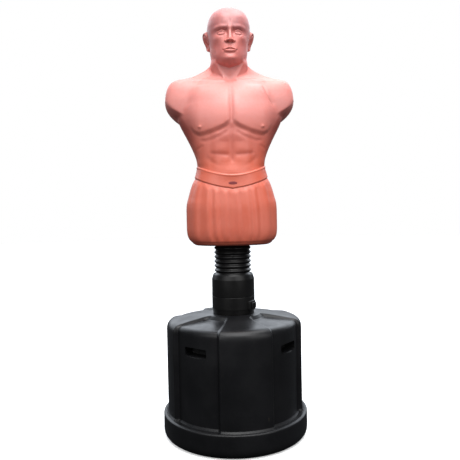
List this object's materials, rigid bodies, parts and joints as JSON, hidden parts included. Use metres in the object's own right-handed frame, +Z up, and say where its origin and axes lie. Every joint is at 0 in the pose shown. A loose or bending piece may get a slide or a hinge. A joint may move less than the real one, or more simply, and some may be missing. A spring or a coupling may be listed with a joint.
{
  "type": "body opponent mannequin",
  "caption": "Freestanding punching mannequin: a life-size flesh-coloured head and torso in moulded shorts, on a height-adjustable ribbed pole in a round fillable base",
  "frame": {"origin": "on the floor under the pole's axis, the middle of the base's foot", "axes": "+Z is up along the pole; the figure faces -Y; its left arm stump points +X"},
  "size_m": [0.5784, 0.5784, 1.699],
  "materials": {
    "skin": "soft flesh-coloured vinyl, satin",
    "foam": "moulded urethane foam",
    "tank_plastic": "black blow-moulded polyethylene, satin",
    "moulded_plastic": "black moulded plastic, satin",
    "nylon": "natural nylon",
    "seal_rubber": "black rubber",
    "steel": "zinc-plated",
    "plywood": "bare birch plywood",
    "water": "water ballast"
  },
  "bodies": {
    "base": {"base_tank": "tank_plastic", "stem_socket": "tank_plastic", "ballast_fill": "water", "stem_collar": "moulded_plastic", "lock_ring": "moulded_plastic", "upper_guide_bush": "nylon", "lower_guide_bush": "nylon", "latch_housing": "moulded_plastic", "latch_spring": "steel", "collar_screw_1": "steel", "collar_screw_2": "steel", "collar_screw_3": "steel"},
    "latch": {"latch_pin": "steel", "latch_knob": "moulded_plastic"},
    "cap_seal": {"fill_cap_seal": "seal_rubber"},
    "cap": {"fill_cap": "moulded_plastic"},
    "pole": {"pole_tube": "tank_plastic", "pole_top_cap": "nylon", "pole_foot_plug": "nylon"},
    "torso": {"torso_skin": "skin", "torso_foam": "foam", "torso_core_tube": "tank_plastic", "bearing_pad": "nylon", "torso_base_plate": "plywood", "plate_screw_1": "steel", "plate_screw_2": "steel", "plate_screw_3": "steel", "plate_screw_4": "steel"}
  },
  "joints": [
    {"name": "height_slide", "type": "slide", "parent": "base", "child": "pole", "axis": [0, 0, 1], "range_m": [-0.108, 0.072]},
    {"name": "torso_turn", "type": "hinge", "parent": "pole", "child": "torso", "pos_m": [0, 0, 1.136], "axis": [0, 0, 1], "continuous": true},
    {"name": "latch_pull", "type": "slide", "parent": "base", "child": "latch", "axis": [0.7848, -0.6198, 0], "range_m": [0, 0.005], "stiffness_N_per_m": 900, "springref_m": -0.004, "deforming": ["latch_spring"]},
    {"name": "cap_lift", "type": "slide", "parent": "base", "child": "cap_seal", "axis": [0, 0, 1], "range_m": [0, 0.008]},
    {"name": "cap_turn", "type": "hinge", "parent": "cap_seal", "child": "cap", "pos_m": [-0.02077, 0.17678, 0.5], "axis": [0, 0, 1], "range_deg": [0, 720]}
  ],
  "couplings": [
    {"joint": "cap_lift", "follows": "cap_turn", "m_per_rad": 0.00063662}
  ]
}
